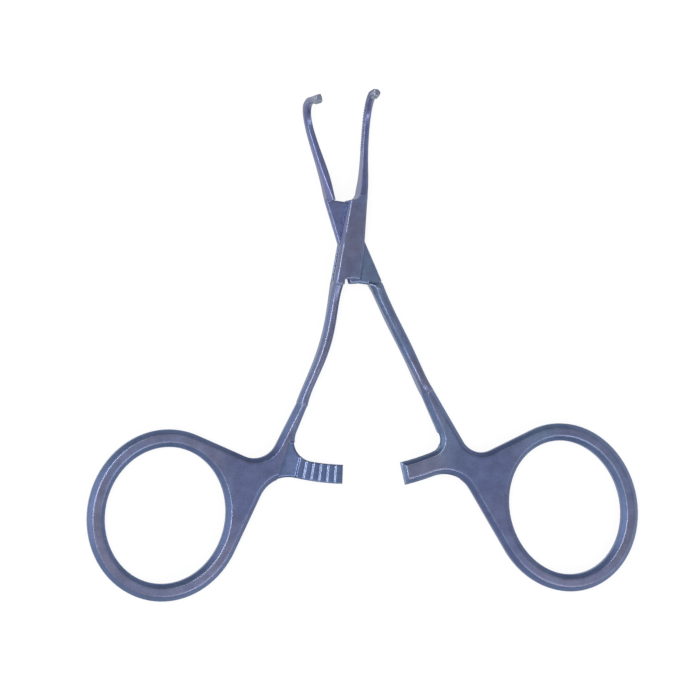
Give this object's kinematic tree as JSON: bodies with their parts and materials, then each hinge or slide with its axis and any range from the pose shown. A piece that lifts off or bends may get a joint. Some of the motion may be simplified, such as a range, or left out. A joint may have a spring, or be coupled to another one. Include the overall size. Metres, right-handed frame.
{
  "type": "vascular clamp",
  "caption": "Small ring-handled vascular clamp with a box lock, a ratchet between the shanks and slender jaws whose fine-toothed tips curve up to the front, shown open.",
  "frame": {"origin": "on the pin's axis, in the back face of the box lock", "axes": "+Z out of the lock's front face, the way the jaw tips curve; +Y from the pin to the jaws, midway between the open jaws; +X towards the ring of the half with the tenon"},
  "size_m": [0.1152, 0.1063, 0.0136],
  "materials": {
    "anodised_titanium": "satin blue-violet anodised titanium"
  },
  "bodies": {
    "box_side": {"box_half": "anodised_titanium", "pivot_pin": "anodised_titanium"},
    "tenon_side": {"tenon_half": "anodised_titanium"}
  },
  "joints": [
    {"name": "pin_hinge", "type": "hinge", "parent": "box_side", "child": "tenon_side", "pos_m": [0, 0, 0], "axis": [0, 0, 1], "range_deg": [-21, 25]}
  ]
}
